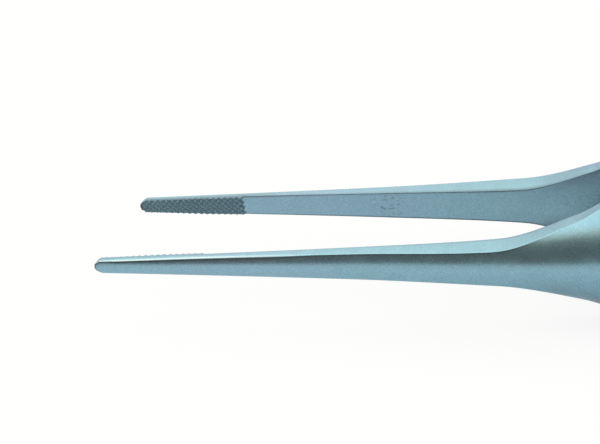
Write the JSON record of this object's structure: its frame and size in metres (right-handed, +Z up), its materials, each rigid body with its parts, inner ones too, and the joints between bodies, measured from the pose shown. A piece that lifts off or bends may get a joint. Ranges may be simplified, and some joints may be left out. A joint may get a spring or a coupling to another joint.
{
  "type": "utility forceps",
  "caption": "Slim spring forceps with fine cross-serrated jaws, broad domed ridged grips and a welded rounded heel.",
  "frame": {"origin": "centre of the bounding box, on the surface that the forceps lie on", "axes": "+X along the tool from the tips to the heel, +Y the way the right arm opens, +Z up across the width"},
  "size_m": [0.12, 0.015, 0.0115],
  "materials": {
    "steel": "satin, bead blasted",
    "weld": "ground flush, satin"
  },
  "bodies": {
    "heel": {"heel_weld": "weld"},
    "arm_left": {"arm_left": "steel"},
    "arm_right": {"arm_right": "steel"}
  },
  "joints": [
    {"name": "left_spring", "type": "hinge", "parent": "heel", "child": "arm_left", "pos_m": [0.052, 0, 0.00575], "axis": [0, 0, -1], "range_deg": [0, 2.57], "stiffness_Nm_per_rad": 3.8},
    {"name": "right_spring", "type": "hinge", "parent": "heel", "child": "arm_right", "pos_m": [0.052, 0, 0.00575], "axis": [0, 0, 1], "range_deg": [0, 2.57], "stiffness_Nm_per_rad": 3.8}
  ]
}
